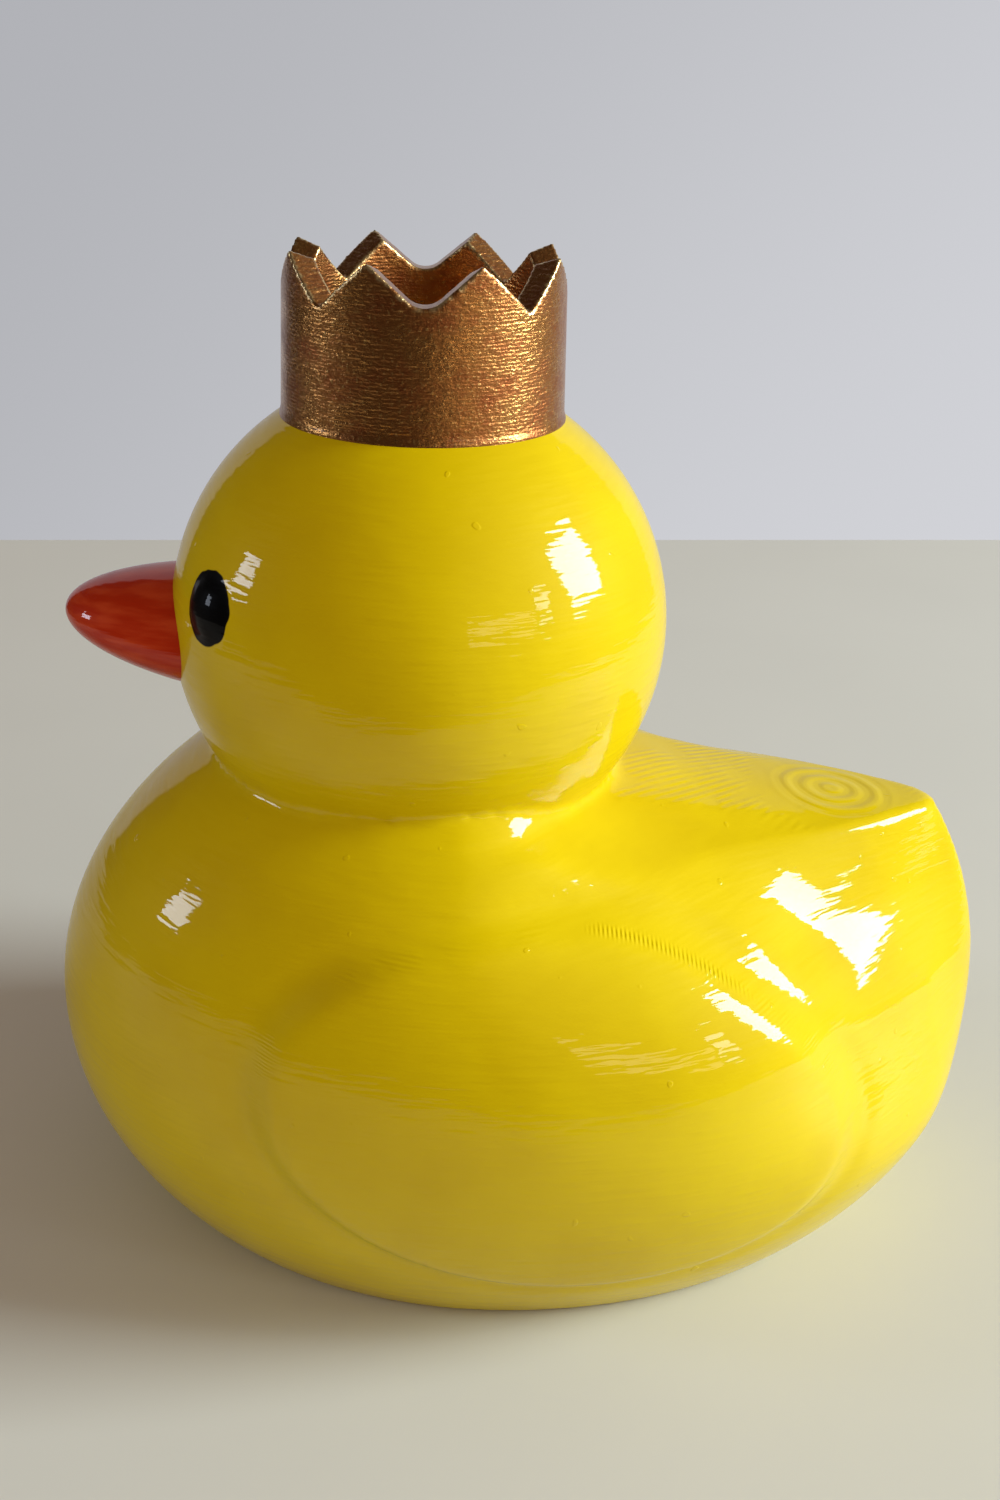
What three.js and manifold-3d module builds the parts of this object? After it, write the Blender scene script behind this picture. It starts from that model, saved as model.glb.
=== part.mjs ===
// A rubber duck with a crown: one printed piece, painted and clear-coated.
// Millimetres, +Z up. The duck faces -Y and stands on z = 0.
import * as THREE from "three";
import { mergeVertices } from "three/addons/utils/BufferGeometryUtils.js";
import Module from "manifold-3d";

const wasm = await Module();
wasm.setup();

// Body: an egg cut flat by the floor, its axis as far back from the crown's axis as BODY_BACK.
const BODY_BACK = 6.2;
const SHOULDER_FORWARD = 4.2; // how much further forward the widest point is under the head
const BODY_WIDTH = 43;
const CHEST_REACH = 29.3; // from the widest section forwards
const STERN_REACH = 31.4; // from the widest section back
const BODY_MID = 15.2; // height of the widest section
const BODY_RISE = 22; // how high the egg would rise above it
const DOME_TOP = 35.5; // where it stops, inside the head
const BODY_DROP = 23; // to where the keel would be, without the flat base
const STERN_RISE = 26.3; // how high the stern's own curve would rise

// Tail: its top is nearly level, and a crease runs down from its tip on each side.
const TAIL_TOP = 28.5;
const SADDLE_TOP = 30.6; // where the level top meets the back of the head
const NECK = 31.3; // from here up the body's back is inside the head

// The body's right side behind its widest point, at four heights: the points that it passes
// through, as shares of the half width and of the stern's reach there. The last of them is on the
// tail's crease. Below the first row the side eases into a plain ellipse, and the same points are
// at these turns of it.
const SIDES = [
  { z: 18.5, through: [[0.95, 0.267], [0.809, 0.492], [0.593, 0.688], [0.376, 0.83]], end: 1 },
  { z: TAIL_TOP, through: [[0.86, 0.1], [0.66, 0.325], [0.46, 0.6], [0.088, 0.978]], end: 1 },
  { z: SADDLE_TOP, through: [[0.93, 0], [0.76, 0.1], [0.55, 0.2], [0.33, 0.3]], end: 0.36 },
  { z: NECK, through: [[0.95, -0.07], [0.82, 0.02], [0.6, 0.1], [0.35, 0.16]], end: 0.19 },
];
const PLAIN_TURNS = [0, 20, 40, 55, 68, 90]; // degrees from the widest point to the stern's end
const PLAIN_BELOW = 8; // height

// Head, bill and eyes.
const HEAD_RADIUS = 15;
const HEAD_HEIGHT = 40.1; // the centre's height
const BILL_HALF = { wide: 6.6, long: 14.3, tall: 3.83 };
const BILL_REACH = 6.5; // how far the tip stands out from the head
const BILL_DROP = 1.2; // how far the bill's root sits under the head's centre
const BILL_TILT = 6.5; // degrees, tip up
const EYE_AROUND = 38; // degrees from the bill
const EYE_UP = 13; // degrees above the head's centre
const EYE_HALF = { wide: 2.35, tall: 2.1, deep: 1.4 };
const EYE_PROUD = 0.55;

// Wings: a shallow oval pad on each side, its rim rising in two steps.
const WING_HALF = { long: 17.6, tall: 11.3 };
const WING_PROUD = 0.8; // how far the pad stands out from the widest section
const WING_RIM = 0.5; // how much wider the lower step is all round
const WING_BACK = 8.3; // from the crown's axis
const WING_HEIGHT = 16.5;
const WING_TILT = 9; // degrees, rear end down

// Crown: a ring with straight V notches cut across it, its foot sunk in the head.
const CROWN_RADIUS = 8;
const CROWN_FOOT = 8.2; // radius where it meets the head
const CROWN_WALL = 1.55;
const CROWN_TOP = 62;
const CROWN_TEETH = 8;
const NOTCH_DEPTH = 2.6;
const NOTCH_OVER = 1.5; // how far the cut runs on above the tips, as a share of a notch
const POOL_RADIUS = 1.1; // the left and right notches are rounded by pooled varnish

// Points along the chest's half outline, each span of the side, and the stern's.
const CHEST_POINTS = 13;
const SIDE_POINTS = 4;
const STERN_POINTS = 7;
const DUCK_YELLOW = 0xf2dc00;

const rad = THREE.MathUtils.degToRad;

function solid(geometry) {
  const bare = new THREE.BufferGeometry()
    .setAttribute("position", geometry.getAttribute("position"))
    .setIndex(geometry.index);
  const merged = mergeVertices(bare, 1e-4);
  return new wasm.Manifold(
    new wasm.Mesh({
      numProp: 3,
      vertProperties: new Float32Array(merged.attributes.position.array),
      triVerts: new Uint32Array(merged.index.array),
    }),
  );
}

function geometryOf(made) {
  const mesh = made.getMesh();
  const positions = new Float32Array(mesh.numVert * 3);
  for (let i = 0; i < mesh.numVert; i++) {
    const at = i * mesh.numProp;
    positions.set(mesh.vertProperties.subarray(at, at + 3), i * 3);
  }
  const geometry = new THREE.BufferGeometry()
    .setAttribute("position", new THREE.BufferAttribute(positions, 3))
    .setIndex(new THREE.BufferAttribute(new Uint32Array(mesh.triVerts), 1));
  geometry.computeVertexNormals();
  return geometry;
}

function ellipsoid(wide, long, tall, around, down) {
  return new THREE.SphereGeometry(1, around, down)
    .rotateX(Math.PI / 2)
    .scale(wide, long, tall);
}

// How wide an egg is at a height, as a share of its widest section.
function share(z, rise, drop) {
  const t = z > BODY_MID ? (z - BODY_MID) / rise : (BODY_MID - z) / drop;
  return Math.sqrt(Math.max(0, 1 - t * t));
}

function shareOf(z) {
  return share(z, BODY_RISE, BODY_DROP);
}

// The side's shares at a height, eased from one row of SIDES to the next. It rounds off towards
// the tail's top, which is nearly level before it climbs to the saddle.
function sideAt(z) {
  const row = Math.min(SIDES.length - 2, SIDES.findLastIndex((r) => r.z < z));
  if (row < 0) return SIDES[0];
  const [low, high] = [SIDES[row], SIDES[row + 1]];
  const t = Math.min(1, (z - low.z) / (high.z - low.z));
  const last = low.through.length - 1;
  const ease = (i) => [Math.pow(t, 1.8), Math.pow(t, 1 - (0.5 * i) / last), t][row];
  const lerp = THREE.MathUtils.lerp;
  const through = low.through.map(([x, y], i) => [
    lerp(x, high.through[i][0], ease(i)),
    lerp(y, high.through[i][1], ease(i)),
  ]);
  return { through, end: lerp(low.end, high.end, ease(last)) };
}

// Points along a smooth curve that leaves the first point along +Y and passes through the rest.
function smoothThrough(points, perSpan) {
  const along = points.map((p, i) => {
    const next = points[Math.min(i + 1, points.length - 1)];
    const before = points[Math.max(i - 1, 0)];
    return next.clone().sub(before).multiplyScalar(0.5);
  });
  along[0].set(0, points[0].distanceTo(points[1]));
  const path = new THREE.CurvePath();
  for (let i = 0; i + 1 < points.length; i++) {
    const out = points[i].clone().addScaledVector(along[i], 1 / 3);
    const into = points[i + 1].clone().addScaledVector(along[i + 1], -1 / 3);
    path.add(new THREE.CubicBezierCurve(points[i], out, into, points[i + 1]));
  }
  return path.getPoints(perSpan);
}

// An ellipse's quarter from its widest point to the stern's end, point for point with the side.
function plainQuarter(width, mid, back) {
  const points = [];
  for (let s = 0; s + 1 < PLAIN_TURNS.length; s++) {
    const steps = s + 2 < PLAIN_TURNS.length ? SIDE_POINTS : STERN_POINTS;
    for (let i = 0; i < steps; i++) {
      const turn = rad(THREE.MathUtils.lerp(PLAIN_TURNS[s], PLAIN_TURNS[s + 1], i / steps));
      points.push(new THREE.Vector2(width * Math.cos(turn), mid + (back - mid) * Math.sin(turn)));
    }
  }
  points.push(new THREE.Vector2(0, back));
  return points;
}

// The right half of the body's outline at a height, from the chest's middle to the stern's.
function halfOutline(z) {
  const lift = THREE.MathUtils.smoothstep(z, BODY_MID, TAIL_TOP);
  const mid = BODY_BACK - SHOULDER_FORWARD * lift;
  const width = (BODY_WIDTH / 2) * shareOf(z);
  const chest = CHEST_REACH * shareOf(z) - SHOULDER_FORWARD * lift;
  const reach = STERN_REACH * share(z, STERN_RISE, BODY_DROP);
  const { through, end } = sideAt(z);
  const side = through.map(([x, y]) => new THREE.Vector2(x * width, BODY_BACK + y * reach));
  side.unshift(new THREE.Vector2(width, mid));
  const crease = side.at(-1);
  const back = BODY_BACK + end * reach;
  const stern = new THREE.CubicBezierCurve(
    crease,
    new THREE.Vector2(crease.x * 0.5, THREE.MathUtils.lerp(crease.y, back, 0.58)),
    new THREE.Vector2(crease.x * 0.33, back),
    new THREE.Vector2(0, back),
  );
  const points = [];
  for (let i = 0; i < CHEST_POINTS; i++) {
    const turn = (Math.PI / 2) * (i / CHEST_POINTS);
    points.push(new THREE.Vector2(width * Math.sin(turn), mid - chest * Math.cos(turn)));
  }
  const creased = [...smoothThrough(side, SIDE_POINTS).slice(0, -1), ...stern.getPoints(STERN_POINTS)];
  const plainness = 1 - THREE.MathUtils.smoothstep(z, PLAIN_BELOW, SIDES[0].z);
  plainQuarter(width, mid, back).forEach((p, i) => points.push(creased[i].lerp(p, plainness)));
  return points;
}

// A closed ring of the body at a height, mirrored from its right half.
function bodyRing(z) {
  const half = halfOutline(z);
  const ring = half.map((p) => new THREE.Vector3(p.x, p.y, z));
  const mirrored = half.slice(1, -1).reverse();
  ring.push(...mirrored.map((p) => new THREE.Vector3(-p.x, p.y, z)));
  return ring;
}

// A closed surface through rings of the same number of points, capped flat at both ends.
function loft(rings) {
  const count = rings[0].length;
  const positions = [];
  const index = [];
  for (const ring of rings) {
    for (const p of ring) positions.push(p.x, p.y, p.z);
  }
  for (let r = 0; r + 1 < rings.length; r++) {
    for (let i = 0; i < count; i++) {
      const j = (i + 1) % count;
      const a = r * count + i;
      const b = r * count + j;
      index.push(a, b, b + count, a, b + count, a + count);
    }
  }
  for (const end of [0, rings.length - 1]) {
    const outline = rings[end].map((p) => new THREE.Vector2(p.x, p.y));
    for (const [a, b, c] of THREE.ShapeUtils.triangulateShape(outline, [])) {
      const at = end * count;
      if (end === 0) index.push(at + a, at + c, at + b);
      else index.push(at + a, at + b, at + c);
    }
  }
  return new THREE.BufferGeometry()
    .setAttribute("position", new THREE.Float32BufferAttribute(positions, 3))
    .setIndex(index);
}

// The heights of the body's rings, closest where its shape turns fastest.
function bodyHeights() {
  const heights = [];
  for (let i = 0; i < 16; i++) heights.push(TAIL_TOP * (1 - Math.pow(1 - i / 16, 1.25)));
  for (let i = 0; i < 6; i++) {
    heights.push(TAIL_TOP + (SADDLE_TOP - TAIL_TOP) * Math.pow(i / 6, 2));
  }
  for (let i = 0; i < 2; i++) heights.push(SADDLE_TOP + ((NECK - SADDLE_TOP) * i) / 2);
  for (let i = 0; i <= 6; i++) heights.push(NECK + ((DOME_TOP - NECK) * i) / 6);
  return heights;
}

// Both wings: the body made wider all over, kept inside an oval that runs across it.
function wings(proud, grown) {
  const oval = new THREE.Shape();
  oval.absellipse(0, 0, WING_HALF.long + grown, WING_HALF.tall + grown, 0, 2 * Math.PI);
  const across = new THREE.ExtrudeGeometry(oval, {
    depth: 2 * BODY_WIDTH,
    bevelEnabled: false,
    curveSegments: 40,
  })
    .translate(0, 0, -BODY_WIDTH)
    .rotateX(Math.PI / 2)
    .rotateZ(Math.PI / 2)
    .rotateX(-rad(WING_TILT))
    .translate(0, WING_BACK, WING_HEIGHT);
  const wider = loft(bodyHeights().map(bodyRing)).scale(1 + (2 * proud) / BODY_WIDTH, 1, 1);
  return solid(wider).intersect(solid(across));
}

function bill() {
  return ellipsoid(BILL_HALF.wide, BILL_HALF.long, BILL_HALF.tall, 36, 22)
    .rotateX(-rad(BILL_TILT))
    .translate(0, BILL_HALF.long - HEAD_RADIUS - BILL_REACH, HEAD_HEIGHT - BILL_DROP);
}

function eye(side) {
  return ellipsoid(EYE_HALF.wide, EYE_HALF.deep, EYE_HALF.tall, 28, 18)
    .translate(0, -(HEAD_RADIUS + EYE_PROUD - EYE_HALF.deep), 0)
    .rotateX(-rad(EYE_UP))
    .rotateZ(side * rad(EYE_AROUND))
    .translate(0, 0, HEAD_HEIGHT);
}

// A notch's section: a V with its point below the tips, its bottom rounded if a radius is given.
function notch(radius) {
  const half = CROWN_RADIUS * Math.sin(Math.PI / CROWN_TEETH);
  const slope = Math.atan2(NOTCH_DEPTH, half);
  const section = new THREE.Shape();
  section.moveTo(half * NOTCH_OVER, NOTCH_DEPTH * (NOTCH_OVER - 1));
  section.lineTo(-half * NOTCH_OVER, NOTCH_DEPTH * (NOTCH_OVER - 1));
  if (radius === 0) section.lineTo(0, -NOTCH_DEPTH);
  else {
    const middle = radius / Math.cos(slope) - NOTCH_DEPTH;
    section.absarc(0, middle, radius, -Math.PI / 2 - slope, -Math.PI / 2 + slope, false);
  }
  return section;
}

function crown() {
  const foot = HEAD_HEIGHT + HEAD_RADIUS * 0.7;
  const inner = CROWN_RADIUS - CROWN_WALL;
  const profile = [
    new THREE.Vector2(inner, foot),
    new THREE.Vector2(CROWN_FOOT, foot),
    new THREE.Vector2(CROWN_FOOT, HEAD_HEIGHT + HEAD_RADIUS * 0.85),
    new THREE.Vector2(CROWN_RADIUS, CROWN_TOP),
    new THREE.Vector2(inner, CROWN_TOP),
    new THREE.Vector2(inner, foot),
  ];
  let made = solid(new THREE.LatheGeometry(profile, 72).rotateX(Math.PI / 2));
  const length = 4 * CROWN_RADIUS;
  for (let i = 0; i < CROWN_TEETH / 2; i++) {
    const pooled = i === CROWN_TEETH / 4;
    const cut = new THREE.ExtrudeGeometry(notch(pooled ? POOL_RADIUS : 0), {
      depth: length,
      bevelEnabled: false,
      curveSegments: 8,
    })
      .translate(0, 0, -length / 2)
      .rotateX(Math.PI / 2)
      .rotateZ((2 * Math.PI * i) / CROWN_TEETH)
      .translate(0, 0, CROWN_TOP);
    made = made.subtract(solid(cut));
  }
  return made;
}

function duck() {
  const head = ellipsoid(HEAD_RADIUS, HEAD_RADIUS, HEAD_RADIUS, 60, 34);
  let made = solid(loft(bodyHeights().map(bodyRing)));
  made = made.add(wings(WING_PROUD / 2, WING_RIM)).add(wings(WING_PROUD, 0));
  made = made.add(solid(head.translate(0, 0, HEAD_HEIGHT))).add(solid(bill())).add(crown());
  for (const side of [-1, 1]) made = made.add(solid(eye(side)));
  return made;
}

const mesh = new THREE.Mesh(
  geometryOf(duck()),
  new THREE.MeshStandardMaterial({ color: DUCK_YELLOW, roughness: 0.2, metalness: 0 }),
);
mesh.name = "duck";

// The frame's origin is under the middle of the overall box.
const box = new THREE.Box3().setFromObject(mesh);
mesh.position.y = -(box.min.y + box.max.y) / 2;

const part = new THREE.Group();
part.name = "rubber_duck";
part.add(mesh);
export default part;
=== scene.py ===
"""The looks of the crowned duck: one printed piece, hand painted and clear-coated."""

import math

import bmesh
import bpy
from mathutils import Matrix, Vector


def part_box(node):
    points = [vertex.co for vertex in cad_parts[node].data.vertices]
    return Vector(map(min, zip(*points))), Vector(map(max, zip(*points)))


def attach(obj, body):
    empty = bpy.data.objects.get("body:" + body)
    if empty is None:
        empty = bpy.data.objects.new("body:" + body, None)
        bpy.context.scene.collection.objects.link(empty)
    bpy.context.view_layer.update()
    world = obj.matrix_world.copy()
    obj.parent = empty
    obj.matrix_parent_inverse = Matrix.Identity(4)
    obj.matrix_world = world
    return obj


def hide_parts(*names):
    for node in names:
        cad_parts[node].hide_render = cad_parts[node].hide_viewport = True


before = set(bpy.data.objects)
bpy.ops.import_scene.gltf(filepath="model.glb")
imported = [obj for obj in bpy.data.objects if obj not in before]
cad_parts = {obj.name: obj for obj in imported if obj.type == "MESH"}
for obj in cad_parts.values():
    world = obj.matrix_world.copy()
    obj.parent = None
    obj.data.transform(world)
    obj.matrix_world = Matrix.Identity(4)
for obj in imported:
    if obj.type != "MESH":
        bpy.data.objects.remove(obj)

bl_info = {
    "name": "Crowned duck",
    "version": (1, 0, 0),
    "blender": (4, 2, 0),
    "location": "3D View > Sidebar > Duck",
    "description": "Builds the looks of the crowned duck around its packed part",
    "category": "Add Mesh",
}

MM = 0.001
UP = Vector((0.0, 0.0, 1.0))

# The part's own measures, in millimetres, from the crown's axis and the floor.
BODY_BACK = 6.2
SHOULDER_FORWARD = 4.2
BODY_MID = 15.2
BODY_RISE = 22.0
BODY_DROP = 23.0
STERN_RISE = 26.3
CHEST_REACH = 29.3
STERN_REACH = 31.4
DOME_TOP = 35.5
TAIL_TOP = 28.5
SADDLE_TOP = 30.6
NECK = 31.3
CHEST_ENDS = 0.4  # where along an outline, 0 at the chest and 1 at the stern, its side begins
CREASE_AT = 0.86  # and where it has its crease
PLAIN_BELOW = 8.0
PLAIN_TURNS = (0.0, 20.0, 40.0, 55.0, 68.0, 90.0)  # degrees of the ellipse at the side's points
# Rows of the body's side: height, points as shares of half width and reach, and the stern's end.
# Below the first row the side eases into a plain ellipse.
SIDES = (
    (18.5, ((0.95, 0.267), (0.809, 0.485), (0.568, 0.67), (0.325, 0.852)), 1.0),
    (TAIL_TOP, ((0.86, 0.1), (0.66, 0.325), (0.46, 0.6), (0.088, 0.978)), 1.0),
    (SADDLE_TOP, ((0.93, 0.0), (0.76, 0.1), (0.55, 0.2), (0.33, 0.3)), 0.36),
    (NECK, ((0.95, -0.07), (0.82, 0.02), (0.6, 0.1), (0.35, 0.16)), 0.19),
)
LEAN_FROM = 14.0  # the stern's side leans towards this place behind the crown's axis
WAIST = 23.5
WAIST_TURNS = ((-0.8, 0.1), (-0.4, 0.2), (0.0, 0.4), (0.4, 0.2), (0.8, 0.1))  # shift and weight
HEAD_RADIUS = 15.0
HEAD_HEIGHT = 40.1
EYE_AROUND = math.radians(36.4)
EYE_UP = math.radians(13.0)
EYE_WIDE, EYE_DEEP, EYE_TALL, EYE_PROUD = 2.35, 1.4, 2.1, 0.55
EYE_INK = 2.15  # the black paint's radius
CROWN_TOP = 62.0
TAIL_DISH = 26.7  # the middle of the rings on the tail's top, behind the crown's axis
FLOOR_HALF, FLOOR_NEAR = 170.0, 78.0  # the floor's half width, and how far it comes forward

# The print's marks.
LAYER = 0.2
SKIN_LINE = 0.43
BEAD = 0.26  # a little over a layer, so that the row shows in the render
RING = 1.25

# Paint and varnish bend light alike, so the paint under the varnish has next to no gloss of its
# own.
PAINT_UNDER_VARNISH = 0.05

# Name, degrees right of the camera's side and up above level, distance, width and height in
# millimetres, power in watts and colour.
LIGHTS = (
    ("Window", 87, 22.5, 700, 250, 300, 6.9, "F4FCFF"),
    ("Side glow", 61, 17.5, 420, 50, 60, 0.09, "F4F7FF"),
    ("Shelf", 40, 13, 420, 230, 36, 0.105, "FFE9C8"),
    ("Far window", -87, 15, 600, 110, 105, 0.45, "E4EEFF"),
)


def crown_axis_y():
    """The crown axis's Y in the frame, in millimetres: the chest is the part's foremost point."""
    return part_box("duck")[0].y / MM - BODY_BACK + CHEST_REACH


# Shaders


def linear(code):
    """An sRGB hex colour as linear RGBA."""
    values = [int(code[i : i + 2], 16) / 255 for i in (0, 2, 4)]
    return [v / 12.92 if v <= 0.04045 else ((v + 0.055) / 1.055) ** 2.4 for v in values] + [1.0]


def new_material(name):
    material = bpy.data.materials.new(name)
    material.use_nodes = True
    material.node_tree.nodes.clear()
    return material, material.node_tree


def node(tree, kind, links=None, inputs=None, **settings):
    """Adds a node: settings are its properties, inputs its values, links what feeds each input."""
    made = tree.nodes.new(kind)
    for key, value in settings.items():
        setattr(made, key, value)
    for key, value in (inputs or {}).items():
        made.inputs[key].default_value = value
    for key, source in (links or {}).items():
        tree.links.new(source, made.inputs[key])
    return made


def math_node(tree, operation, a, b=0.0, c=0.0):
    """A maths node's output, each operand a number or another output."""
    made = node(tree, "ShaderNodeMath", operation=operation)
    for i, value in enumerate((a, b, c)):
        if isinstance(value, (int, float)):
            made.inputs[i].default_value = value
        else:
            tree.links.new(value, made.inputs[i])
    return made.outputs[0]


def ramp(tree, source, low, high, to_low=0.0, to_high=1.0):
    """A smooth step of one output between two values."""
    return node(
        tree,
        "ShaderNodeMapRange",
        {"Value": source},
        {"From Min": low, "From Max": high, "To Min": to_low, "To Max": to_high},
        interpolation_type="SMOOTHSTEP",
    ).outputs["Result"]


def mix_colour(tree, share, a, b):
    made = node(tree, "ShaderNodeMix", data_type="RGBA")
    for key, value in (("Factor", share), (6, a), (7, b)):
        if isinstance(value, (list, tuple, int, float)):
            made.inputs[key].default_value = value
        else:
            tree.links.new(value, made.inputs[key])
    return made.outputs[2]


def noise(tree, coords, period, detail=2.0, roughness=0.5):
    """Noise whose features are about this many millimetres apart."""
    return node(
        tree,
        "ShaderNodeTexNoise",
        {"Vector": coords},
        {"Scale": 1.0 / (period * MM), "Detail": detail, "Roughness": roughness},
    ).outputs["Fac"]


def stretched(tree, coords, x, y, z):
    return node(
        tree, "ShaderNodeMapping", {"Vector": coords}, {"Scale": (x, y, z)}
    ).outputs["Vector"]


def layers(tree, coords, period, direction="Z"):
    """The print's layers: a wave along Z, or another axis, with this period in millimetres."""
    return node(
        tree,
        "ShaderNodeTexWave",
        {"Vector": coords},
        {"Scale": math.pi / 10 / (period * MM)},
        wave_type="BANDS",
        bands_direction=direction,
        wave_profile="SIN",
    ).outputs["Fac"]


def bump(tree, height, distance, strength=1.0, normal=None):
    links = {"Height": height}
    if normal is not None:
        links["Normal"] = normal
    return node(
        tree,
        "ShaderNodeBump",
        links,
        {"Distance": distance * MM, "Strength": strength},
    ).outputs["Normal"]


def finish_material(tree, shader):
    node(tree, "ShaderNodeOutputMaterial", {"Surface": shader})


def yellow_paint(dish, eye_points):
    """Yellow acrylic paint brushed on a printed plastic body, the eyes in black, under a thick
    gloss varnish that leaves the print's layers showing faintly."""
    material, tree = new_material("Yellow acrylic paint under gloss varnish")
    coords = node(tree, "ShaderNodeTexCoord").outputs["Object"]
    top = node(tree, "ShaderNodeAttribute", attribute_name="top").outputs["Fac"]
    seam = node(tree, "ShaderNodeAttribute", attribute_name="seam").outputs["Fac"]
    beads = node(tree, "ShaderNodeAttribute", attribute_name="beads").outputs["Fac"]
    blotch = noise(tree, coords, 9.0, 3.0)
    colour = mix_colour(tree, ramp(tree, blotch, 0.35, 0.68), linear("D6C000"), linear("CEB600"))
    fine = noise(tree, coords, 0.9, 2.0)
    colour = mix_colour(tree, math_node(tree, "MULTIPLY", fine, 0.12), colour, linear("DCC600"))

    # The eyes: an oval of black paint with a slightly uneven edge.
    wobble = noise(tree, coords, 1.3, 1.0)
    edge = ramp(tree, wobble, 0.2, 0.8, -0.05, 0.05)
    inked = None  # the share of black over both eyes
    for centre in eye_points:
        away = node(tree, "ShaderNodeVectorMath", {0: coords}, {1: centre}, operation="SUBTRACT")
        away = node(
            tree,
            "ShaderNodeMapping",
            {"Vector": away.outputs[0]},
            {"Scale": [1 / (EYE_INK * MM)] * 3},
        )
        length = node(
            tree, "ShaderNodeVectorMath", {0: away.outputs[0]}, operation="LENGTH"
        ).outputs["Value"]
        inside = ramp(tree, math_node(tree, "ADD", length, edge), 1.02, 0.98)
        inked = inside if inked is None else math_node(tree, "MAXIMUM", inked, inside)
    colour = mix_colour(tree, inked, colour, linear("050505"))

    normal = bump(tree, noise(tree, coords, 5.0, 1.0), 0.03)
    # Print layers under the varnish: long low ridges, the wing's bead row, and single layers,
    # clearest along the wings' rims.
    ridges = noise(tree, stretched(tree, coords, 1, 1, 8), 3.2, 1.5, 0.5)
    normal = bump(tree, ridges, 0.043, 1.0, normal)
    row = math_node(tree, "MULTIPLY", layers(tree, coords, BEAD, "Y"), beads)
    normal = bump(tree, row, 0.05, 1.0, normal)
    patchy = ramp(tree, noise(tree, stretched(tree, coords, 1, 1, 2.5), 3.0), 0.42, 0.62)
    along_rims = math_node(tree, "MULTIPLY_ADD", seam, 1.0, 0.12)
    showing = math_node(tree, "MULTIPLY", patchy, along_rims)
    layer = math_node(tree, "MULTIPLY", layers(tree, coords, LAYER), showing)
    normal = bump(tree, layer, 0.012, 1.0, normal)
    # The tail's level top: rings of single layers round its dish, and the last skin's lines.
    away = node(
        tree, "ShaderNodeVectorMath", {0: coords}, {1: dish}, operation="DISTANCE"
    ).outputs["Value"]
    uneven = math_node(tree, "MULTIPLY_ADD", noise(tree, coords, 2.4, 1.0), 0.35 * MM, away)
    rings = math_node(tree, "MULTIPLY", uneven, 1 / (RING * MM))
    ring = math_node(tree, "PINGPONG", rings, 0.5)
    near = math_node(tree, "MULTIPLY", ramp(tree, away, 4.6 * MM, 3.0 * MM), top)
    step = math_node(tree, "MULTIPLY", ramp(tree, ring, 0.08, 0.46), near)
    normal = bump(tree, step, 0.05, 1.0, normal)
    skin = node(
        tree,
        "ShaderNodeTexWave",
        {"Vector": coords},
        {"Scale": math.pi / 10 / (SKIN_LINE * MM) * math.sqrt(3) / math.sqrt(2)},
        wave_type="BANDS",
        bands_direction="DIAGONAL",
    ).outputs["Fac"]
    far = math_node(tree, "MULTIPLY", ramp(tree, away, 4.5 * MM, 6.5 * MM), top)
    skin = math_node(tree, "MULTIPLY", skin, math_node(tree, "MULTIPLY", far, patchy))
    normal = bump(tree, skin, 0.03, 1.0, normal)
    specks = ramp(tree, noise(tree, coords, 0.8, 0.0), 0.83, 0.88)
    normal = bump(tree, specks, 0.02, 1.0, normal)
    shader = node(
        tree,
        "ShaderNodeBsdfPrincipled",
        {
            "Base Color": colour,
            "Normal": normal,
            "Coat Normal": normal,
            "Coat Weight": ramp(tree, inked, 0.0, 1.0, 0.65, 0.2),
        },
        {
            "Roughness": 0.5,
            "IOR": 1.49,
            "Specular IOR Level": PAINT_UNDER_VARNISH,
            "Coat Roughness": 0.03,
            "Coat IOR": 1.46,
        },
    ).outputs["BSDF"]
    finish_material(tree, shader)
    return material


def red_paint():
    """Orange-red acrylic paint in thin brushed coats, under the same gloss varnish."""
    material, tree = new_material("Orange-red acrylic paint under gloss varnish")
    coords = node(tree, "ShaderNodeTexCoord").outputs["Object"]
    strokes = noise(tree, stretched(tree, coords, 1, 0.35, 3), 1.6, 2.0)
    colour = mix_colour(tree, ramp(tree, strokes, 0.35, 0.7), linear("B42D0A"), linear("C6451E"))
    normal = bump(tree, noise(tree, coords, 2.5, 1.0), 0.02)
    normal = bump(tree, layers(tree, coords, LAYER), 0.003, 1.0, normal)
    shader = node(
        tree,
        "ShaderNodeBsdfPrincipled",
        {"Base Color": colour, "Normal": normal, "Coat Normal": normal},
        {
            "Roughness": 0.5,
            "IOR": 1.49,
            "Specular IOR Level": PAINT_UNDER_VARNISH,
            "Coat Weight": 0.65,
            "Coat Roughness": 0.04,
            "Coat IOR": 1.5,
        },
    ).outputs["BSDF"]
    finish_material(tree, shader)
    return material


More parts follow.
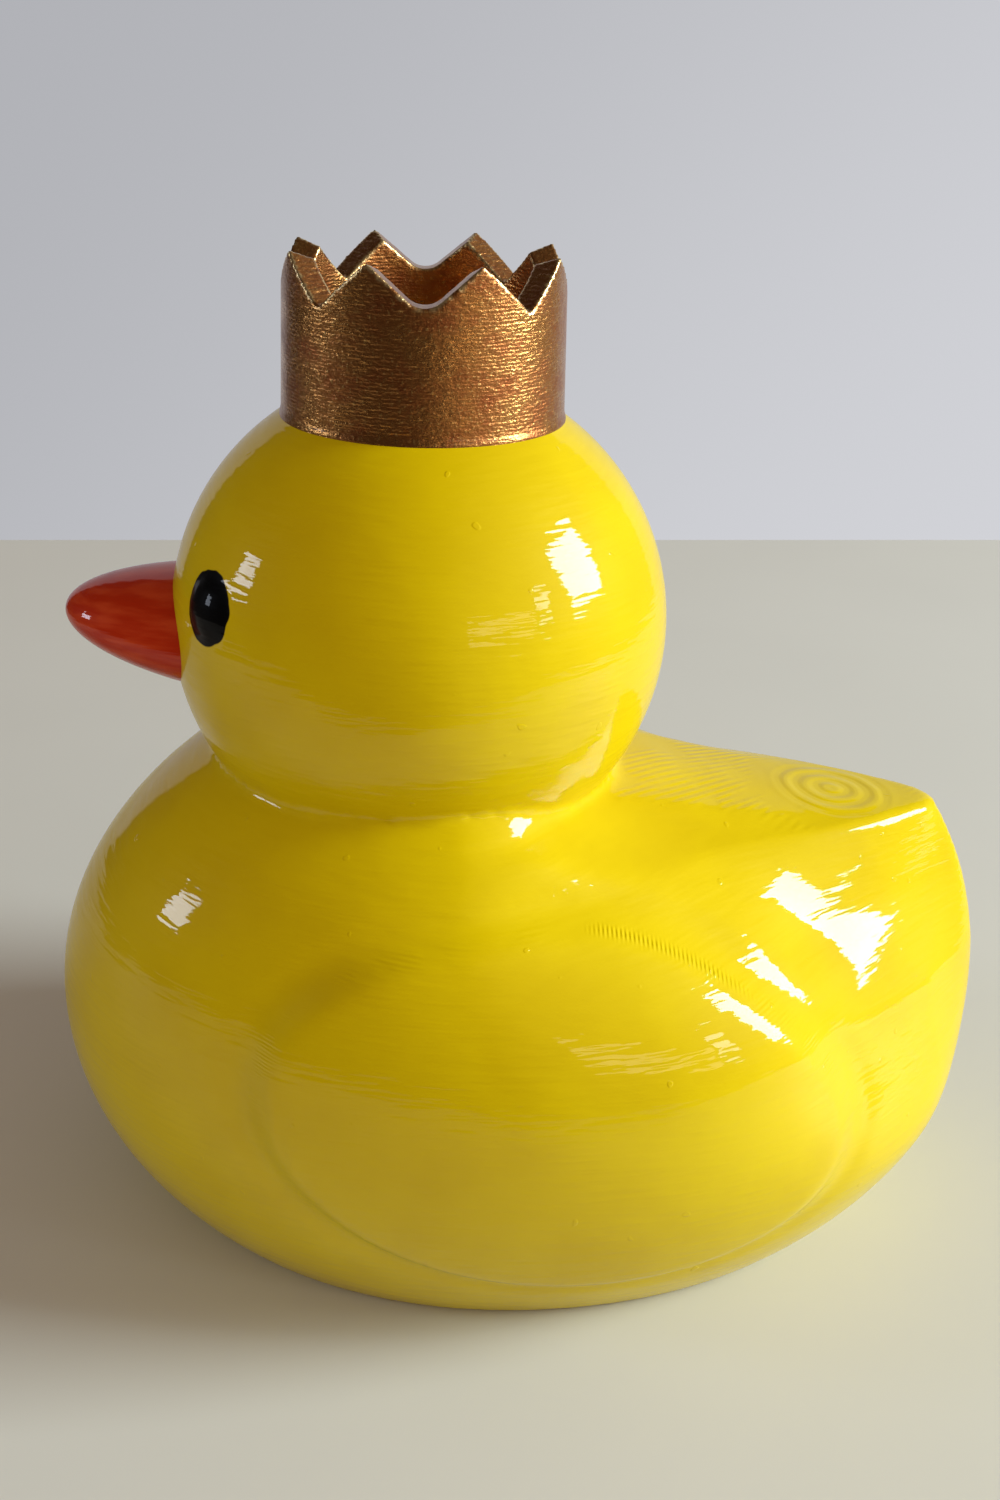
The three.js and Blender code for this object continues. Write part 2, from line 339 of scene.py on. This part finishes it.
def gold_paint():
    """Antique-gold acrylic: metal flakes in a brown varnish, brushed over the print's layers, with
    a
    painted highlight: lighter colour along the sharp edges."""
    material, tree = new_material("Gold acrylic paint, satin")
    coords = node(tree, "ShaderNodeTexCoord").outputs["Object"]
    edge = node(tree, "ShaderNodeAttribute", attribute_name="edge").outputs["Fac"]
    worn = noise(tree, stretched(tree, coords, 1, 1, 1.4), 2.2, 4.0, 0.62)
    colour = mix_colour(tree, ramp(tree, worn, 0.32, 0.74), linear("BC864A"), linear("98582F"))
    flakes = noise(tree, coords, 0.2, 2.0, 0.7)
    bright = ramp(tree, flakes, 0.56, 0.7)
    colour = mix_colour(
        tree, math_node(tree, "MULTIPLY", bright, 0.5), colour, linear("E9C27A")
    )
    # Painted highlight: the colour turns lighter along the crown's sharp edges, in uneven patches.
    uneven = ramp(tree, noise(tree, coords, 0.6, 2.0), 0.35, 0.55)
    painted_edge_highlight = math_node(tree, "MULTIPLY", edge, uneven)
    colour = mix_colour(tree, painted_edge_highlight, colour, linear("F6DCA0"))
    normal = bump(tree, layers(tree, coords, LAYER), 0.009, 0.7)
    strokes = noise(tree, stretched(tree, coords, 1, 1, 3), 0.55, 3.0)
    normal = bump(tree, strokes, 0.06, 1.0, normal)
    normal = bump(tree, flakes, 0.035, 1.0, normal)
    rough = ramp(tree, worn, 0.3, 0.7, 0.24, 0.38)
    shader = node(
        tree,
        "ShaderNodeBsdfPrincipled",
        {"Base Color": colour, "Normal": normal, "Roughness": rough},
        {"Metallic": 0.9, "Coat Weight": 0.3, "Coat Roughness": 0.15},
    ).outputs["BSDF"]
    finish_material(tree, shader)
    return material


def plain(name, code, roughness, grain):
    """A plain matt surface with a slight, even unevenness."""
    material, tree = new_material(name)
    coords = node(tree, "ShaderNodeTexCoord").outputs["Object"]
    base = linear(code)
    shade = [c * 0.94 for c in base[:3]] + [1.0]
    colour = mix_colour(tree, noise(tree, coords, grain, 3.0), base, shade)
    shader = node(
        tree,
        "ShaderNodeBsdfPrincipled",
        {"Base Color": colour},
        {"Roughness": roughness},
    ).outputs["BSDF"]
    finish_material(tree, shader)
    return material


# Shapes


def smoothstep(t):
    t = min(1.0, max(0.0, t))
    return t * t * (3 - 2 * t)


def share(z, rise, drop):
    """How wide an egg is at a height, as a share of its widest section."""
    t = (z - BODY_MID) / (rise if z > BODY_MID else drop)
    return math.sqrt(max(0.0, 1 - t * t))


def side_at(z):
    """The side's shares at a height and the stern's end, eased between the rows of SIDES."""
    if z <= SIDES[0][0]:
        return SIDES[0][1], SIDES[0][2]
    row = max(i for i in range(len(SIDES) - 1) if SIDES[i][0] < z)
    (z0, low, end0), (z1, high, end1) = SIDES[row], SIDES[row + 1]
    t = min(1.0, (z - z0) / (z1 - z0))
    last = len(low) - 1
    # Up to the tail's top the side changes late, up to the saddle early, and beyond it evenly.
    eases = [(t**1.8, t ** (1 - 0.5 * i / last), t)[row] for i in range(last + 1)]
    # The crease itself closes in on the middle sooner than it moves back.
    inwards = eases[:last] + [1 - (1 - t) ** 2.4 if row == 0 else eases[last]]
    eases[last] = t if row == 0 else eases[last]
    through = [
        (a[0] + (b[0] - a[0]) * f, a[1] + (b[1] - a[1]) * e)
        for a, b, e, f in zip(low, high, eases, inwards)
    ]
    return through, end0 + (end1 - end0) * eases[last]


def hermite(points, t):
    """A point of the smooth curve that leaves the first point along Y and passes the others."""
    spans = len(points) - 1
    i = min(int(t * spans), spans - 1)
    slopes = []
    for k in (i, i + 1):
        ahead, behind = points[min(k + 1, spans)], points[max(k - 1, 0)]
        slopes.append((ahead - behind) * 0.5)
    if i == 0:
        slopes[0] = Vector((0.0, (points[1] - points[0]).length))
    u = t * spans - i
    a, b = points[i], points[i + 1]
    return (
        a * (2 * u**3 - 3 * u**2 + 1)
        + slopes[0] * (u**3 - 2 * u**2 + u)
        + b * (3 * u**2 - 2 * u**3)
        + slopes[1] * (u**3 - u**2)
    )


def outline(z, width, u):
    """A point of the body's left half at a height: u runs from the chest (0) to the stern (1)."""
    lift = smoothstep((z - BODY_MID) / (TAIL_TOP - BODY_MID))
    egg = share(z, BODY_RISE, BODY_DROP)
    mid = BODY_BACK - SHOULDER_FORWARD * lift
    half = width / 2 * egg
    if u <= CHEST_ENDS:
        turn = math.pi / 2 * u / CHEST_ENDS
        chest = CHEST_REACH * egg - SHOULDER_FORWARD * lift
        return Vector((half * math.sin(turn), mid - chest * math.cos(turn)))
    reach = STERN_REACH * share(z, STERN_RISE, BODY_DROP)
    through, end = side_at(z)
    points = [Vector((half, mid))] + [Vector((x * half, BODY_BACK + y * reach)) for x, y in through]
    crease, back = points[-1], BODY_BACK + end * reach
    if u <= CREASE_AT:
        t = (u - CHEST_ENDS) / 0.46
        creased = hermite(points, t)
        at = t * 4
    else:
        t = (u - CREASE_AT) / 0.14
        b = Vector((crease.x * 0.5, crease.y + (back - crease.y) * 0.58))
        c = Vector((crease.x * 0.33, back))
        d = Vector((0.0, back))
        creased = (
            crease * (1 - t) ** 3 + b * 3 * t * (1 - t) ** 2 + c * 3 * t**2 * (1 - t) + d * t**3
        )
        at = 4 + t
    k = min(int(at), 4)
    turn = math.radians(PLAIN_TURNS[k] + (PLAIN_TURNS[k + 1] - PLAIN_TURNS[k]) * (at - k))
    plain_point = Vector((half * math.cos(turn), mid + (back - mid) * math.sin(turn)))
    return plain_point.lerp(creased, smoothstep((z - PLAIN_BELOW) / (SIDES[0][0] - PLAIN_BELOW)))


def wing_rise(options, y, z):
    """How far the wing's pad stands out at a place on the body's side, 0 to 1."""
    tilt = math.radians(options.wing_tilt)
    y, z = y - options.wing_back, z - options.wing_height
    along = y * math.cos(tilt) - z * math.sin(tilt)
    up = y * math.sin(tilt) + z * math.cos(tilt)
    power = 1.6 if along > 0 and up > 0 else 2.0  # its upper rear edge is nearly straight
    along = abs(along) / (options.wing_long + (0.7 if along > 0 else 0.0))
    up = abs(up) / options.wing_tall
    away = (along**power + up**power) ** (1 / power)
    groove = 0.28 * math.exp(-(((away - 1.06) / 0.045) ** 2))
    return smoothstep((1.03 - away) / 0.1) - groove


def stern_waist(z):
    """0 at the stern's fullest height, 1 at its waist under the tail and 0 at the tail's rim, with
    the turns between them softened."""
    low, total = SIDES[0][0], 0.0
    for shift, weight in WAIST_TURNS:
        rising = (z + shift - low) / (WAIST - low)
        falling = (TAIL_TOP - (z + shift)) / (TAIL_TOP - WAIST)
        total += weight * max(0.0, min(rising, falling))
    return total


def stern_lean(z, u):
    """How far the side leans in, in millimetres: evenly up to the rim beside the saddle, and to
    the waist under the tail, most in front and less towards the crease."""
    saddle = 1.8 * min(1.0, max(0.0, z - 21) / 7.5) ** 1.5
    saddle *= smoothstep((u - 0.56) / 0.14) * (1 - smoothstep((u - 0.72) / 0.12))
    tail = 1.6 * stern_waist(z) * (1 - 0.8 * min(1.0, max(0.0, u - 0.76) / 0.11))
    tail *= smoothstep((u - 0.64) / 0.12) * (1 - smoothstep((u - 0.87) / 0.1))
    return saddle + tail


def body_bmesh(options):
    """The body: a grid rolled into a tube of the body's outlines, welded and its ends filled."""
    around, rows = 220, 130
    bm = bmesh.new()
    bmesh.ops.create_grid(bm, x_segments=around, y_segments=rows, size=0.5)
    for v in bm.verts:
        u, t = v.co.x + 0.5, v.co.y + 0.5
        z = DOME_TOP * t
        side = 1 if u <= 0.5 else -1
        along = 2 * u if u <= 0.5 else 2 * (1 - u)
        p = outline(z, options.body_width, along)
        out = options.wing_proud * wing_rise(options, p.y, z) * min(1.0, p.x / 6.0)
        p -= Vector((p.x, p.y - LEAN_FROM)).normalized() * stern_lean(z, along)
        v.co = Vector((side * (p.x + out), p.y, z))
    bmesh.ops.remove_doubles(bm, verts=bm.verts, dist=1e-4)
    bmesh.ops.holes_fill(bm, edges=bm.edges, sides=0)
    return bm


def ball(bm, wide, long, tall, place, around=128, down=64):
    bmesh.ops.create_uvsphere(
        bm,
        u_segments=around,
        v_segments=down,
        radius=1.0,
        matrix=place @ Matrix.Diagonal((wide, long, tall, 1.0)),
    )


def eye_matrix(side, out):
    """Places an eye on the head: out is its centre's distance from the head's centre."""
    return (
        Matrix.Translation((0, 0, HEAD_HEIGHT))
        @ Matrix.Rotation(side * EYE_AROUND, 4, "Z")
        @ Matrix.Rotation(-EYE_UP, 4, "X")
        @ Matrix.Translation((0, -out, 0))
    )


def as_object(bm, name, material, smooth=True):
    """Makes an object of a mesh in millimetres around the crown's axis, in the row frame."""
    place = Matrix.Scale(MM, 4) @ Matrix.Translation((0, crown_axis_y(), 0))
    bmesh.ops.transform(bm, matrix=place, verts=bm.verts)
    bmesh.ops.recalc_face_normals(bm, faces=bm.faces)
    mesh = bpy.data.meshes.new(name)
    bm.to_mesh(mesh)
    bm.free()
    made = bpy.data.objects.new(name, mesh)
    bpy.context.scene.collection.objects.link(made)
    mesh.materials.append(material)
    for polygon in mesh.polygons:
        polygon.use_smooth = smooth
    return made


def applied(made):
    """Turns an object's modifiers into its mesh."""
    depsgraph = bpy.context.evaluated_depsgraph_get()
    mesh = bpy.data.meshes.new_from_object(made.evaluated_get(depsgraph))
    old = made.data
    made.modifiers.clear()
    made.data = mesh
    mesh.name = made.name
    bpy.data.meshes.remove(old)
    for polygon in mesh.polygons:
        polygon.use_smooth = True
    return made


def remeshed(made, voxel, smoothing):
    """One skin over all of an object's overlapping shells, with its creases slightly filled."""
    made.modifiers.new("Skin", "REMESH").mode = "VOXEL"
    made.modifiers["Skin"].voxel_size = voxel * MM
    made.modifiers.new("Flow", "SMOOTH").iterations = smoothing
    made.modifiers["Flow"].factor = 0.5
    return applied(made)


def add_attributes(made, options):
    """Shares for each vertex: "top", on the tail's level top, "seam", along the wings' rims, and
    "beads", on the rims' upper rear stretch."""
    mesh = made.data
    axis = crown_axis_y()
    tops, seams, beads = [], [], []
    for v in mesh.vertices:
        x, y, z = abs(v.co.x) / MM, v.co.y / MM - axis, v.co.z / MM
        level = smoothstep((v.normal.z - 0.93) / 0.05)
        tops.append(level if TAIL_TOP - 1 < z < SADDLE_TOP + 1 and y > 10 else 0.0)
        rise = wing_rise(options, y, z)
        seams.append(max(0.0, 4 * rise * (1 - rise)) if x > 8 else 0.0)
        stretch = smoothstep((y - 9) / 2) * smoothstep((20 - y) / 3) if z > 20 else 0.0
        beads.append(stretch * max(0.0, 4 * rise * (1 - rise)) ** 9)
    mesh.attributes.new("top", "FLOAT", "POINT").data.foreach_set("value", tops)
    mesh.attributes.new("seam", "FLOAT", "POINT").data.foreach_set("value", seams)
    mesh.attributes.new("beads", "FLOAT", "POINT").data.foreach_set("value", beads)


def add_edges(made):
    """A share for each vertex, "edge": how sharply the skin turns there."""
    mesh = made.data
    normals = [v.normal.copy() for v in mesh.vertices]
    turns = [0.0] * len(normals)
    for polygon in mesh.polygons:
        facing = polygon.normal
        for i in polygon.vertices:
            turns[i] = max(turns[i], 1 - facing.dot(normals[i]))
    shares = [smoothstep((turn - 0.008) / 0.04) for turn in turns]
    mesh.attributes.new("edge", "FLOAT", "POINT").data.foreach_set("value", shares)


# The add-on


class BodyOptions(bpy.types.PropertyGroup):
    """Measures of the body and its wings, in millimetres and degrees."""

    body_width: bpy.props.FloatProperty(
        name="Body width", description="Across the body's widest section, in mm", default=43.0
    )
    wing_long: bpy.props.FloatProperty(
        name="Wing half length", description="Half the wing pad's length, in mm", default=17.6
    )
    wing_tall: bpy.props.FloatProperty(
        name="Wing half height", description="Half the wing pad's height, in mm", default=11.3
    )
    wing_proud: bpy.props.FloatProperty(
        name="Wing rise", description="How far the pad stands out, in mm", default=0.8
    )
    wing_back: bpy.props.FloatProperty(
        name="Wing back", description="The pad's centre behind the crown's axis, in mm", default=8.3
    )
    wing_height: bpy.props.FloatProperty(
        name="Wing height", description="The pad's centre above the floor, in mm", default=16.5
    )
    wing_tilt: bpy.props.FloatProperty(
        name="Wing tilt", description="Rear end down, in degrees", default=9.0
    )
    voxel: bpy.props.FloatProperty(
        name="Skin cell", description="Size of the skin's faces, in mm", default=0.37
    )


class BillOptions(bpy.types.PropertyGroup):
    """Measures of the bill, in millimetres and degrees."""

    wide: bpy.props.FloatProperty(name="Half width", description="In mm", default=6.6)
    long: bpy.props.FloatProperty(name="Half length", description="In mm", default=14.3)
    tall: bpy.props.FloatProperty(name="Half height", description="In mm", default=3.83)
    reach: bpy.props.FloatProperty(
        name="Reach", description="From the head to the tip, in mm", default=6.5
    )
    drop: bpy.props.FloatProperty(
        name="Drop", description="Under the head's centre, in mm", default=1.2
    )
    tilt: bpy.props.FloatProperty(name="Tilt", description="Tip up, in degrees", default=6.5)


class CrownOptions(bpy.types.PropertyGroup):
    """Measures of the crown, in millimetres."""

    radius: bpy.props.FloatProperty(name="Radius", description="Outer, in mm", default=8.0)
    foot: bpy.props.FloatProperty(name="Foot radius", description="In mm", default=8.2)
    wall: bpy.props.FloatProperty(name="Wall", description="In mm", default=1.55)
    teeth: bpy.props.IntProperty(name="Teeth", description="An even number", default=8)
    notch: bpy.props.FloatProperty(name="Notch depth", description="In mm", default=2.6)
    pooled: bpy.props.FloatProperty(
        name="Pooled", description="Rounding of the notch with pooled varnish, in mm", default=1.1
    )
    pool: bpy.props.FloatProperty(
        name="Pool", description="How far the varnish pools out round the foot, in mm", default=0.1
    )
    voxel: bpy.props.FloatProperty(
        name="Skin cell", description="Size of the skin's faces, in mm", default=0.13
    )


class StageOptions(bpy.types.PropertyGroup):
    """Measures of the floor and the camera, in millimetres and degrees."""

    camera_place: bpy.props.FloatVectorProperty(
        name="Camera", description="Its place, in mm", size=3, default=(95.06, -7.23, 73.98)
    )
    turn: bpy.props.FloatProperty(
        name="Turn", description="The view's turn from -X towards +Y, in degrees", default=3.1
    )
    pitch: bpy.props.FloatProperty(
        name="Pitch", description="Down from level, in degrees", default=24.2
    )
    roll: bpy.props.FloatProperty(
        name="Roll", description="Of the camera, in degrees", default=2.0
    )
    lens: bpy.props.FloatProperty(
        name="Lens", description="On a 36 mm high sensor, in mm", default=39.36
    )
    floor_depth: bpy.props.FloatProperty(
        name="Floor depth", description="From the duck to its far edge, in mm", default=148.0
    )
    floor_turn: bpy.props.FloatProperty(
        name="Edge's turn", description="Of the floor's far edge, in degrees", default=6.8
    )


class DUCK_OT_body(bpy.types.Operator):
    """Builds the body, head and eyes as one skin"""

    bl_idname = "duck.body"
    bl_label = "Body and head"

    def execute(self, context):
        options = context.scene.duck_body
        bm = body_bmesh(options)
        head = Matrix.Translation((0, 0, HEAD_HEIGHT))
        ball(bm, HEAD_RADIUS, HEAD_RADIUS, HEAD_RADIUS, head, 192, 96)
        for side in (-1, 1):
            place = eye_matrix(side, HEAD_RADIUS + EYE_PROUD - EYE_DEEP)
            ball(bm, EYE_WIDE, EYE_DEEP, EYE_TALL, place, 64, 32)
        axis = crown_axis_y()
        eyes = []
        for side in (-1, 1):
            spot = eye_matrix(side, HEAD_RADIUS) @ Vector((0, 0, 0))
            eyes.append((Vector((spot.x, spot.y + axis, spot.z)) * MM)[:])
        dish = (Vector((0, TAIL_DISH + axis, TAIL_TOP)) * MM)[:]
        made = as_object(bm, "duck_body", yellow_paint(dish, eyes))
        remeshed(made, options.voxel, 1)
        add_attributes(made, options)
        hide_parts("duck")
        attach(made, "root")
        return {"FINISHED"}


class DUCK_OT_bill(bpy.types.Operator):
    """Builds the bill"""

    bl_idname = "duck.bill"
    bl_label = "Bill"

    def execute(self, context):
        options = context.scene.duck_bill
        bm = bmesh.new()
        place = Matrix.Translation(
            (0, options.long - HEAD_RADIUS - options.reach, HEAD_HEIGHT - options.drop)
        ) @ Matrix.Rotation(-math.radians(options.tilt), 4, "X")
        ball(bm, options.wide, options.long, options.tall, place)
        made = as_object(bm, "duck_bill", red_paint())
        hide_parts("duck")
        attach(made, "root")
        return {"FINISHED"}


class DUCK_OT_crown(bpy.types.Operator):
    """Builds the crown: a spun ring with straight V notches cut across it"""

    bl_idname = "duck.crown"
    bl_label = "Crown"

    def execute(self, context):
        options = context.scene.duck_crown
        foot = HEAD_HEIGHT + HEAD_RADIUS * 0.7
        inner = options.radius - options.wall
        profile = (
            (inner, foot),
            (options.foot + options.pool, foot),
            (options.foot + options.pool, HEAD_HEIGHT + HEAD_RADIUS * 0.842),
            (options.foot, HEAD_HEIGHT + HEAD_RADIUS * 0.86),
            (options.radius, CROWN_TOP),
            (inner, CROWN_TOP),
        )
        bm = bmesh.new()
        corners = [bm.verts.new((r, 0, z)) for r, z in profile]
        edges = [bm.edges.new((corners[i], corners[i - 1])) for i in range(len(corners))]
        bmesh.ops.spin(
            bm,
            geom=corners + edges,
            cent=(0, 0, 0),
            axis=UP,
            angle=2 * math.pi,
            steps=240,
            use_merge=True,
        )
        made = as_object(bm, "duck_crown", gold_paint())
        step = 2 * math.pi / options.teeth
        spread = options.radius * math.sin(step / 2) * 1.5
        size = Matrix.Diagonal((spread / math.sin(math.pi / 3), 1, options.notch, 1))
        lie = size @ Matrix.Rotation(-math.pi / 2, 4, "X")
        cutters = bmesh.new()
        for i in range(options.teeth // 2):
            prism = bmesh.ops.create_cone(
                cutters, cap_ends=True, segments=3, radius1=1, radius2=1, depth=40, matrix=lie
            )["verts"]
            if 4 * i == options.teeth:
                low = [v for v in prism if v.co.z < 0]
                rounded = bmesh.ops.bevel(
                    cutters,
                    geom=[e for e in low[0].link_edges if e.other_vert(low[0]) is low[1]],
                    affect="EDGES",
                    offset=options.pooled,
                    segments=8,
                    profile=0.5,
                    material=-1,
                )["verts"]
                prism = [v for v in prism if v.is_valid] + rounded
            bmesh.ops.transform(
                cutters,
                matrix=Matrix.Translation((0, 0, CROWN_TOP)) @ Matrix.Rotation(i * step, 4, "Z"),
                verts=list(set(prism)),
            )
        cutter = as_object(cutters, "duck_notches", made.data.materials[0], smooth=False)
        cut = made.modifiers.new("Notches", "BOOLEAN")
        cut.object = cutter
        cut.solver = "EXACT"
        cut.use_self = True
        remeshed(made, options.voxel, 2)
        add_edges(made)
        bpy.data.objects.remove(cutter)
        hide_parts("duck")
        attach(made, "root")
        return {"FINISHED"}


class DUCK_OT_stage(bpy.types.Operator):
    """Builds the floor, the lights, the background and the camera"""

    bl_idname = "duck.stage"
    bl_label = "Stage"

    def execute(self, context):
        options = context.scene.duck_stage
        scene = context.scene
        scene.view_settings.view_transform = "Standard"
        turn = math.radians(options.turn)
        ahead = Vector((-math.cos(turn), math.sin(turn), 0))
        right = ahead.cross(UP)
        self.add_floor(options, ahead, right)
        self.add_camera(options, scene, ahead, right)
        for name, *light in LIGHTS:
            self.add_light(name, ahead, right, *light)
        self.set_world(scene, ahead, right)
        return {"FINISHED"}

    def add_floor(self, options, ahead, right):
        bm = bmesh.new()
        bmesh.ops.create_grid(bm, x_segments=1, y_segments=1, size=0.5)
        edge = Matrix.Rotation(math.radians(options.floor_turn), 3, "Z") @ right
        for v in bm.verts:
            along = 2 * v.co.x * FLOOR_HALF
            if v.co.y > 0:
                v.co = edge * along + ahead * options.floor_depth
            else:
                v.co = right * along - ahead * FLOOR_NEAR
        made = as_object(bm, "floor", plain("Pale cream board", "D0D3CC", 0.6, 30.0))

    def add_camera(self, options, scene, ahead, right):
        pitch, roll = math.radians(options.pitch), math.radians(options.roll)
        look = ahead * math.cos(pitch) - UP * math.sin(pitch)
        up = right.cross(look)
        across = right * math.cos(roll) + up * math.sin(roll)
        above = up * math.cos(roll) - right * math.sin(roll)
        data = bpy.data.cameras.new("Camera")
        data.sensor_fit = "VERTICAL"
        data.sensor_height = 36
        data.lens = options.lens
        data.clip_start = 0.005
        data.dof.use_dof = False
        camera = bpy.data.objects.new("Camera", data)
        scene.collection.objects.link(camera)
        camera.matrix_world = Matrix.Translation(Vector(options.camera_place) * MM) @ Matrix(
            (across, above, -look)
        ).transposed().to_4x4()
        scene.camera = camera

    def add_light(self, name, ahead, right, around, up, far, wide, tall, power, code):
        """A soft light: around is degrees to the right of the camera's side, up above level."""
        around, up = math.radians(around), math.radians(up)
        level = -ahead * math.cos(around) + right * math.sin(around)
        out = level * math.cos(up) + UP * math.sin(up)
        data = bpy.data.lights.new(name, "AREA")
        data.shape = "RECTANGLE"
        data.size, data.size_y = wide * MM, tall * MM
        data.energy = power
        data.color = linear(code)[:3]
        light = bpy.data.objects.new(name, data)
        bpy.context.scene.collection.objects.link(light)
        aim = Vector((0, crown_axis_y() * MM, 30 * MM))
        light.location = aim + out * far * MM
        light.rotation_euler = out.to_track_quat("Z", "Y").to_euler()

    def along(self, tree, direction, axis):
        return node(
            tree,
            "ShaderNodeVectorMath",
            {0: direction},
            {1: axis[:]},
            operation="DOT_PRODUCT",
        ).outputs["Value"]

    def set_world(self, scene, ahead, right):
        """A pale wall for the camera, its light painted brighter towards the lower right, a warm
        dim room for the light, and for reflections a dark room on the camera's side with the pale
        wall behind the duck."""
        world = bpy.data.worlds.new("World")
        scene.world = world
        world.use_nodes = True
        tree = world.node_tree
        tree.nodes.clear()
        path = node(tree, "ShaderNodeLightPath")
        direction = node(tree, "ShaderNodeTexCoord").outputs["Generated"]
        dark = mix_colour(
            tree,
            ramp(tree, self.along(tree, direction, right), 0.1, 0.5),
            linear("261B15"),
            linear("86705A"),
        )
        behind = self.along(tree, direction, ahead)
        mirrored = mix_colour(tree, ramp(tree, behind, 0.735, 0.765), dark, linear("B9BAC0"))
        # Painted light on the wall: its colour brightens towards the lower right.
        across = self.along(tree, direction, right * 0.6 - UP * 0.5)
        pale = mix_colour(tree, ramp(tree, across, -0.2, 0.35), linear("B1B2B7"), linear("D2D3D8"))
        wall = node(tree, "ShaderNodeBackground", {"Color": pale})
        towards = self.along(tree, direction, right * 0.5 - ahead * 0.8 - UP * 0.15)
        room = node(
            tree,
            "ShaderNodeBackground",
            {"Strength": ramp(tree, towards, -0.9, 0.95, 0.2, 0.56)},
            {"Color": linear("FFDFC8")},
        )
        glossy = node(tree, "ShaderNodeBackground", {"Color": mirrored})
        shown = node(
            tree,
            "ShaderNodeMixShader",
            {0: path.outputs["Is Glossy Ray"], 1: room.outputs[0], 2: glossy.outputs[0]},
        )
        shown = node(
            tree,
            "ShaderNodeMixShader",
            {0: path.outputs["Is Camera Ray"], 1: shown.outputs[0], 2: wall.outputs[0]},
        )
        node(tree, "ShaderNodeOutputWorld", {"Surface": shown.outputs[0]})


class DUCK_PT_panel(bpy.types.Panel):
    """The duck's builders"""

    bl_label = "Crowned duck"
    bl_idname = "DUCK_PT_panel"
    bl_space_type = "VIEW_3D"
    bl_region_type = "UI"
    bl_category = "Duck"

    def draw(self, context):
        scene = context.scene
        for operator, options in STEPS:
            box = self.layout.box()
            for key in getattr(scene, options).bl_rna.properties.keys():
                if key not in ("rna_type", "name"):
                    box.prop(getattr(scene, options), key)
            box.operator(operator)


STEPS = (
    ("duck.body", "duck_body"),
    ("duck.bill", "duck_bill"),
    ("duck.crown", "duck_crown"),
    ("duck.stage", "duck_stage"),
)
OPTIONS = {
    "duck_body": BodyOptions,
    "duck_bill": BillOptions,
    "duck_crown": CrownOptions,
    "duck_stage": StageOptions,
}
CLASSES = tuple(OPTIONS.values()) + (
    DUCK_OT_body,
    DUCK_OT_bill,
    DUCK_OT_crown,
    DUCK_OT_stage,
    DUCK_PT_panel,
)


def register():
    for cls in CLASSES:
        bpy.utils.register_class(cls)
    for name, options in OPTIONS.items():
        setattr(bpy.types.Scene, name, bpy.props.PointerProperty(type=options))


def unregister():
    for name in OPTIONS:
        delattr(bpy.types.Scene, name)
    for cls in reversed(CLASSES):
        bpy.utils.unregister_class(cls)


def main():
    register()
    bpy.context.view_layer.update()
    bpy.ops.duck.body()
    bpy.ops.duck.bill()
    bpy.ops.duck.crown()
    bpy.ops.duck.stage()


if __name__ == "__main__":
    main()
